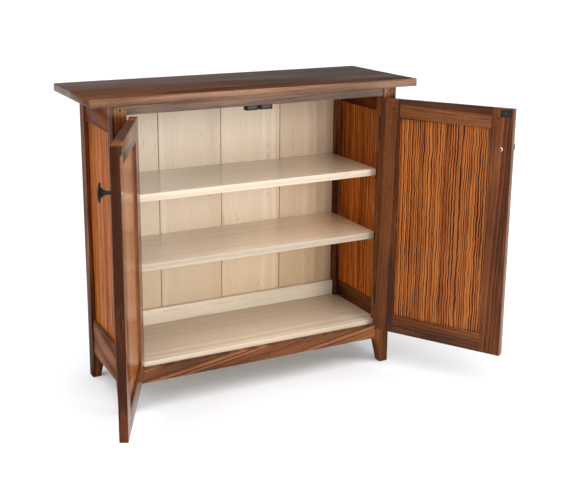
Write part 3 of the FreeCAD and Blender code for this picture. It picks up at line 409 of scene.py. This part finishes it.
# The inside: maple with a clear satin lacquer. A bottom panel, a low rail along the back,
# and four upright shiplapped boards, which are screwed on from behind.
def maple(name, turn, heart=(0.1, 0.2, 0), light=1.0, warm=1.0, grip=0.36, coat=0.0, tints=()):
    """Lacquered maple for one board: faint rings, a few flecks and brown streaks.

    Tints lists bounds, and the colour that the board's colour is multiplied by there: painted
    light and shade.
    """
    material, tree, shader = new_finish("maple_" + name, grip, Coat_Weight=coat,
                                        Coat_Roughness=0.16)
    place = grain_place(tree, name, turn, Vector(heart))
    radius = ring_distance(tree, place, drift=0.022, ripple=0.001)
    rings = line_noise(tree, radius, scale=95, detail=3.0, rough=0.55)
    fibres = noise(tree, place, scale=420, rough=0.6, stretch=0.05)
    tone = total(tree, swing(tree, rings, 0.9), swing(tree, fibres, 0.4), 0.5)
    pale = [(0.2, (0.66, 0.505, 0.345)), (0.5, (0.765, 0.63, 0.475)), (0.8, (0.83, 0.72, 0.585))]
    stops = [(at, (r * light, g * light / warm ** 0.5, b * light / warm))
             for at, (r, g, b) in pale]
    colour = ramp(tree, tone, stops)
    streaks = noise(tree, place, scale=36, detail=4.0, rough=0.75, stretch=0.055)
    stain = ramp(tree, streaks, [
        (0.27, (0.5, 0.33, 0.2)),
        (0.30, (0.82, 0.7, 0.55)),
        (0.38, (1, 1, 1)),
    ])
    colour = mixed(tree, 0.8, colour, stain, "MULTIPLY")
    flecks = total(tree, noise(tree, place, scale=300, detail=1.0, stretch=0.12),
                   swing(tree, noise(tree, place, scale=12), 0.35))
    specks = ramp(tree, flecks, [(0.22, (0.62, 0.46, 0.32)), (0.275, (1, 1, 1))])
    colour = mixed(tree, 0.6, colour, specks, "MULTIPLY")
    for bounds, tint in tints:
        inside = reach(tree, place, heart, bounds)
        colour = mixed(tree, inside, colour, (*tint, 1), "MULTIPLY")
    tree.links.new(colour, shader.inputs["Base Color"])
    uneven_sheen(tree, shader, fibres, (0.3, 1.12), (0.7, 0.92), grip)
    raised(tree, shader, fibres, strength=0.06, distance=0.0002)
    return material


finer("bottom_panel", maple("bottom_panel", ALONG_X, light=0.8), width=0.0005)
low_rail = maple("back_maple_rail", ALONG_X, heart=(0.05, 0.3, 0), light=0.98, warm=0.88)
finer("back_maple_rail", low_rail, width=0.001)
# Painted shade: the back boards are made darker at their foot, below the lower shelf.
shaded_foot_of_boards = ([(FRONT, -0.002, 0.002), (-UP, 0.05, 0.09)], (0.80, 0.75, 0.66))
# Painted shade: the faces inside the back boards' shiplap joints are made dark brown.
shaded_joints = ([(FRONT, -0.0046, -0.0040), (-FRONT, -0.0046, -0.0040)], (0.62, 0.44, 0.29))
board_looks = {
    1: dict(light=0.95, warm=1.0),
    2: dict(light=0.98, warm=1.0),
    3: dict(light=1.09, warm=1.0),
    # Painted reflection: the fourth board, next to the walnut side, is made darker and warmer, for
    # the side's warm light on it.
    4: dict(light=0.90, warm=1.14),
}
for number, look in board_looks.items():
    name = f"back_board_{number}"
    board = maple(name, UPRIGHT, heart=(0.05 * number - 0.1, 0.25, 0), **look,
                  tints=[shaded_foot_of_boards, shaded_joints])
    finer(name, board, width=0.0012)


# Two maple shelves with eased edges, each on four plated steel pins in the legs' holes.
# Their lacquer is rubbed to a shine, so that the seams of the back boards show in it.
# Painted light and shade: behind their front edges, the right halves of the shelves are made
# brighter, the lower shelf's front edge darker, and both shelves take a darker maple than the back
# boards, for their brightly lit front edges.
behind_edge = (-FRONT, -0.116, -0.108)
lit_right_half = [behind_edge, (RIGHT_ALONG, 0.0, 0.25)]
shaded_shelf_edge = [(FRONT, 0.1165, 0.1175)]
shelf_tints = {
    "lower": [(lit_right_half, (1.24, 1.18, 1.12)), (shaded_shelf_edge, (0.68, 0.66, 0.64))],
    "upper": [(lit_right_half, (1.36, 1.30, 1.22))],
}
for level, tints in shelf_tints.items():
    name = f"shelf_{level}"
    shelf = maple(name, ALONG_X, heart=(0.15, 0.15, 0), light=0.81, warm=1.03, grip=0.3, coat=1.0,
                  tints=tints)
    finer(name, shelf, width=0.001)


def bare_metal(name, colour, roughness):
    """Plain metal with fine scratches and a little dulling."""
    material, tree, shader = new_finish(name, roughness, Metallic=1.0)
    place = add(tree, "TexCoord", {}).outputs["Object"]
    cloud = noise(tree, place, scale=300, detail=3.0, rough=0.6)
    dull = tuple(part * 0.75 for part in colour)
    tree.links.new(ramp(tree, cloud, [(0.3, dull), (0.7, colour)]), shader.inputs["Base Color"])
    uneven_sheen(tree, shader, cloud, (0.3, 1.2), (0.7, 0.85), roughness)
    return material


plated_steel = bare_metal("plated_steel", (0.52, 0.50, 0.47), roughness=0.32)
finer("shelf_pins", plated_steel, width=0.0004, shortest=0.0001)


# Wooden buttons under the top: each tongue sits in a slot and lets the slab move.
# Their screws, and those of the back boards and the catches, are plated steel.
finer("top_buttons", maple("top_buttons", ALONG_X), width=0.001)
for name in ("button_screws", "back_screws", "catch_screws"):
    dress(name, plated_steel)


# Magnetic catches: two black plastic bodies under the front top rail, one for each door.
# Each holds a plated magnet in front of the door's strike plate.
def black_coat(name, colour, roughness):
    """A black coating, very slightly uneven."""
    material, tree, shader = new_finish(name, roughness, Specular_IOR_Level=0.18)
    place = add(tree, "TexCoord", {}).outputs["Object"]
    cloud = noise(tree, place, scale=400, detail=3.0, rough=0.6)
    lit = tuple(part * 1.9 for part in colour)
    tree.links.new(ramp(tree, cloud, [(0.3, colour), (0.7, lit)]), shader.inputs["Base Color"])
    raised(tree, shader, cloud, strength=0.15, distance=0.0002)
    return material


black_plastic = black_coat("black_plastic", (0.007, 0.007, 0.006), roughness=0.5)
for side in ("left", "right"):
    finer(f"catch_body_{side}", black_plastic, width=0.0006, shortest=0.004)
magnet = bare_metal("magnet", (0.075, 0.085, 0.075), roughness=0.5)
finer("catch_magnets", magnet, width=0.0003, shortest=0.004)


# Butt hinges: blackened steel leaves let into the legs and the stiles, with black screws.
# Each leaf is fixed by three countersunk screws, whose heads have a cross recess.
black_steel = black_coat("black_steel", (0.010, 0.0095, 0.009), roughness=0.38)
for name in ("hinge_pins", "case_hinge_leaves_left", "case_hinge_leaves_right"):
    finer(name, black_steel)

# Painted shade: the faces inside every cross recess take this near-black finish.
shaded_recess = black_coat("shaded_recess", (0.02, 0.018, 0.016), roughness=0.6)


def cross_recess(screws, places, turn, arm, depth):
    """Cut a cross into each screw head, at its place and turned to face out along Y.

    Arm is the width of the whole cross.
    """
    bpy.ops.object.select_all(action="DESELECT")
    wing = arm * 0.38
    bpy.ops.mesh.primitive_cube_add(size=1, scale=(wing, 2 * depth, wing))
    cross = bpy.context.object
    bpy.ops.object.transform_apply(location=False, rotation=False, scale=True)
    bpy.ops.object.mode_set(mode="EDIT")
    bpy.ops.mesh.select_mode(type="FACE")
    bpy.ops.mesh.select_all(action="DESELECT")
    form = bmesh.from_edit_mesh(cross.data)
    for face in form.faces:
        face.select_set(abs(face.normal.y) < 0.5)
    bmesh.update_edit_mesh(cross.data)
    bpy.ops.mesh.extrude_faces_move(TRANSFORM_OT_shrink_fatten={"value": arm / 2 - wing / 2})
    bpy.ops.object.mode_set(mode="OBJECT")
    # The recess faces carry the painted shade into each head.
    cross.data.materials.append(shaded_recess)
    cutters = []
    for place in places:
        cutter = bpy.data.objects.new("cutter", cross.data.copy())
        cutter.data.transform(Matrix.Translation(place) @ turn.to_4x4())
        bpy.context.scene.collection.objects.link(cutter)
        cutters.append(cutter)
    bpy.data.objects.remove(cross)
    bpy.ops.object.select_all(action="DESELECT")
    for cutter in cutters:
        cutter.select_set(True)
    bpy.context.view_layer.objects.active = cutters[0]
    if len(cutters) > 1:
        bpy.ops.object.join()
    cutting = screws.modifiers.new("recess", "BOOLEAN")
    cutting.operation = "DIFFERENCE"
    cutting.solver = "EXACT"
    cutting.material_mode = "TRANSFER"
    cutting.object = cutters[0]
    bpy.ops.object.select_all(action="DESELECT")
    screws.select_set(True)
    bpy.context.view_layer.objects.active = screws
    bpy.ops.object.modifier_apply(modifier="recess")
    bpy.data.objects.remove(cutters[0])


HINGE_BOTTOMS = (0.171, 0.640)
HALF_HINGE = 0.032
HINGE_SCREW_STEP = 0.023
HINGE_SCREW_DEPTH = -0.12795
HINGE_RECESS = dict(arm=0.0034, depth=0.0009)
SIDEWAYS = Matrix.Rotation(math.pi / 2, 3, "Z")
hinge_screw_heights = [bottom + HALF_HINGE + step * HINGE_SCREW_STEP
                       for bottom in HINGE_BOTTOMS for step in (-1, 0, 1)]
case_screws = finer("case_hinge_screws", black_steel)
case_places = [Vector((side * 0.35915, HINGE_SCREW_DEPTH, height))
               for side in (-1, 1) for height in hinge_screw_heights]
cross_recess(case_screws, case_places, SIDEWAYS, **HINGE_RECESS)


# The doors: two stiles and two rails tenoned together and pegged, round a striped panel.
# Each has a black knob held by a screw from inside, a dark strike plate and its hinge leaves.
# They stand open, turned about their hinges' pins by the angle given for each.
dark_plate = black_coat("dark_plate", (0.012, 0.009, 0.008), roughness=0.55)
knob_screw_steel = bare_metal("knob_screw_steel", (0.55, 0.53, 0.51), roughness=0.3)
dark_screw = bare_metal("dark_screw", (0.07, 0.06, 0.055), roughness=0.45)


def turned_knob(name, side, turn, place):
    """A knob turned on a lathe: a foot, a slim neck, a flare like a trumpet's and a low dome.

    The profile gives each radius and how far out it is, in millimetres.
    """
    profile = [(2.0, 12.0), (2.0, 0.0), (6.7, 0.0), (7.0, 0.3), (4.7, 2.75), (4.5, 3.2),
               (4.5, 11.0), (4.6, 12.4), (4.92, 14.55), (5.79, 17.1), (7.09, 19.45),
               (8.79, 21.53), (10.83, 23.27), (13.15, 24.63), (15.67, 25.55), (18.3, 25.95),
               (20.4, 26.0), (20.85, 26.2), (21.0, 26.7), (21.0, 27.8), (20.85, 28.3),
               (20.3, 28.6), (17.0, 29.1), (12.0, 29.6), (6.0, 29.9), (0.0, 30.0)]
    bpy.ops.object.select_all(action="DESELECT")
    bpy.ops.mesh.primitive_plane_add(size=0.001)
    knob = bpy.context.object
    knob.name = "turned_" + name
    bpy.ops.object.mode_set(mode="EDIT")
    bpy.ops.mesh.select_mode(type="VERT")
    bpy.ops.mesh.select_all(action="SELECT")
    bpy.ops.mesh.merge(type="CENTER")
    corners = [Vector((radius / 1000, -out / 1000, 0)) for radius, out in profile]
    bpy.ops.transform.translate(value=corners[0])
    for before, after in zip(corners, corners[1:]):
        bpy.ops.mesh.extrude_vertices_move(TRANSFORM_OT_translate={"value": after - before})
    bpy.ops.mesh.select_all(action="SELECT")
    bpy.ops.mesh.spin(steps=96, angle=2 * math.pi, center=(0, 0, 0), axis=(0, 1, 0))
    bpy.ops.mesh.select_all(action="SELECT")
    bpy.ops.mesh.remove_doubles(threshold=0.00001)
    bpy.ops.mesh.normals_make_consistent(inside=False)
    bpy.ops.object.mode_set(mode="OBJECT")
    knob.data.transform(Matrix.Translation(place) @ turn.to_4x4())
    bpy.ops.object.shade_smooth_by_angle(angle=math.radians(35))
    knob.data.materials.append(black_steel)
    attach(knob, "door_" + side)
    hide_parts(name)


door_looks = {
    # Painted light: the left door's boards are made brighter than the right door's, for the light
    # on its inner face. Painted shade: its dark part darkens its free edge.
    "left": dict(out=-1, opened=-115, gloss=0.32, grip=0.22, free_light=1.4, free_gloss=0.05,
                 pale_part=None, dark_part=(0.0255, 0.0272), dark_amount=0.27, hinge_light=1.1,
                 top_rail=0.95, bottom_rail=1.0, panel_light=1.45, panel_grip=0.22),
    "right": dict(out=1, opened=122, gloss=0.12, grip=0.36, free_light=1.1, free_gloss=0.08,
                  pale_part=(0.026, 0.0275), dark_part=(0.0, 0.02), dark_amount=0.06,
                  hinge_light=0.7, top_rail=0.76, bottom_rail=0.95, panel_light=1.05,
                  panel_grip=0.4),
}
HINGE_LINE = (0.359, -0.1414)
KNOB_ACROSS, KNOB_HEIGHT = 0.029, 0.66
for side, look in door_looks.items():
    door = f"door_{side}"
    out = look["out"]
    swung = Matrix.Rotation(math.radians(look["opened"]), 3, "Z")
    shut = swung.inverted()
    pivot = Vector((out * HINGE_LINE[0], HINGE_LINE[1], 0))

    def on_door(across, depth, height):
        """A place on this door as it stands open, from its place when shut."""
        return pivot + swung @ (Vector((out * across, depth, height)) - pivot)

    gloss, grip = look["gloss"], look["grip"]
    inward = Vector((-out, 0, 0))
    pale = [[(inward, *look["pale_part"])]] if look["pale_part"] else []
    # The dark part is painted shade on the left door's free edge, and darker wood on the outer
    # half of the right door's free stile.
    dark = [([(inward, *look["dark_part"])], look["dark_amount"])]
    free_stile = walnut(f"{door}_free_stile", shut, heart=(0.10, 0.03, 0),
                        light=look["free_light"], gloss=look["free_gloss"], grip=grip, streak=0.3,
                        figure=0.55, paler_parts=pale, darker=dark)
    finer(f"{door}_free_stile", free_stile, RAIL_ARRIS)
    hinge_stile = walnut(f"{door}_hinge_stile", shut, heart=(0.10, 0.03, 0),
                         light=look["hinge_light"], gloss=gloss, grip=grip, streak=0.5, figure=0.6)
    finer(f"{door}_hinge_stile", hinge_stile, RAIL_ARRIS)
    for part in ("top_rail", "bottom_rail"):
        rail = walnut(f"{door}_{part}", ALONG_X @ shut, heart=(0.06, 0.06, 0), light=look[part],
                      gloss=gloss, grip=grip)
        finer(f"{door}_{part}", rail, RAIL_ARRIS)
    panel = striped(f"{door}_panel", shut, light=look["panel_light"], gloss=gloss,
                    grip=look["panel_grip"])
    dress(f"{door}_panel", panel)
    dress(f"{door}_pegs", dark_peg(door))
    turned_knob(f"{door}_knob", side, swung, on_door(KNOB_ACROSS, -0.137, KNOB_HEIGHT))
    finer(f"{door}_strike_plate", dark_plate, width=0.0004, shortest=0.004)
    finer(f"{door}_hinge_leaves", black_steel)

    knob_screw = finer(f"{door}_knob_screw", knob_screw_steel, width=0.0006, shortest=0.0001)
    knob_screw_places = [on_door(KNOB_ACROSS, -0.115, KNOB_HEIGHT)]
    cross_recess(knob_screw, knob_screw_places, swung, arm=0.0068, depth=0.0015)
    strike_screw = finer(f"{door}_strike_screw", dark_screw, width=0.0002, shortest=0.0001)
    cross_recess(strike_screw, [on_door(0.020, -0.1153, 0.75)], swung, arm=0.0036, depth=0.0006)
    leaf_screws = finer(f"{door}_hinge_screws", black_steel)
    leaf_places = [on_door(0.35885, HINGE_SCREW_DEPTH, height) for height in hinge_screw_heights]
    cross_recess(leaf_screws, leaf_places, swung @ SIDEWAYS, **HINGE_RECESS)


# The studio: a plain white floor under a pale sky that is white at the horizon, so that
# the floor has no visible end. Nothing of it is part of the cabinet.
bpy.ops.object.select_all(action="DESELECT")
bpy.ops.mesh.primitive_plane_add(size=120, location=(0, 0, 0))
floor = bpy.context.object
floor.name = "studio_floor"
floor_paint, _, floor_shader = new_finish("floor_paint", 0.9, Specular_IOR_Level=0.1)
floor_shader.inputs["Base Color"].default_value = (0.905, 0.93, 0.955, 1)
floor.data.materials.append(floor_paint)

world = bpy.data.worlds.new("studio")
bpy.context.scene.world = world
world.use_nodes = True
sky = world.node_tree
height = add(sky, "SeparateXYZ", {0: add(sky, "TexCoord", {}).outputs["Generated"]}).outputs[2]
glow = add(sky, "MapRange", {0: height, 1: 0.035, 2: 0.085, 3: 1.0, 4: 0.20}).outputs[0]
sky.links.new(glow, sky.nodes["Background"].inputs["Strength"])
sky.nodes["Background"].inputs["Color"].default_value = (1, 1, 1, 1)


# The lights: a wide soft one overhead, a low one that reaches into the cabinet from the
# front, and three square soft boxes, in front and at both sides.
def far_light(name, strength, width, tilt):
    """A light so far away that it falls evenly everywhere, as wide as an angle in degrees."""
    lamp = bpy.data.lights.new(name, "SUN")
    lamp.energy = strength
    lamp.angle = math.radians(width)
    holder = bpy.data.objects.new(name, lamp)
    holder.rotation_euler = [math.radians(part) for part in tilt]
    bpy.context.scene.collection.objects.link(holder)


def soft_light(name, place, aim, width, power):
    """A square soft light that points at a place."""
    lamp = bpy.data.lights.new(name, "AREA")
    lamp.shape = "SQUARE"
    lamp.size = width
    lamp.energy = power
    holder = bpy.data.objects.new(name, lamp)
    holder.location = place
    holder.rotation_euler = (Vector(aim) - Vector(place)).to_track_quat("-Z", "Y").to_euler()
    bpy.context.scene.collection.objects.link(holder)


far_light("ceiling", strength=3.2, width=75, tilt=(14, -8, 0))
far_light("beam", strength=1.12, width=24, tilt=(77, 0, 4))
soft_light("front", (-0.6, -4.6, 1.6), aim=(0, 0, 0.45), width=2.8, power=36)
soft_light("right", (3.4, -2.6, 1.4), aim=(-0.4, 0, 0.5), width=2.0, power=70)
soft_light("left", (-3.4, -0.6, 1.6), aim=(-0.4, 0, 0.4), width=2.0, power=40)


# The camera stands in front, a little left and above the top, and looks slightly down.
# Its focus and its picture's centre are in pixels of a picture 564 wide and 488 tall.
EYE = Vector((-1.0686, -2.2957, 1.1428))
TURN, PITCH = -0.4475, -0.2294
FOCUS, CENTRE_U, CENTRE_V = 967.7, 251.7, 176.3
WIDE, TALL = 564, 488
lens = bpy.data.cameras.new("camera")
camera = bpy.data.objects.new("camera", lens)
bpy.context.scene.collection.objects.link(camera)
bpy.context.scene.camera = camera
lens.sensor_fit = "HORIZONTAL"
lens.sensor_width = 36
lens.lens = FOCUS * lens.sensor_width / WIDE
lens.shift_x = (WIDE / 2 - CENTRE_U) / WIDE
lens.shift_y = (CENTRE_V - TALL / 2) / WIDE
lens.dof.use_dof = False
turned = Matrix.Rotation(TURN, 4, "Z") @ Matrix.Rotation(math.pi / 2 + PITCH, 4, "X")
camera.matrix_world = Matrix.Translation(EYE) @ turned

bpy.context.scene.view_settings.view_transform = "Standard"
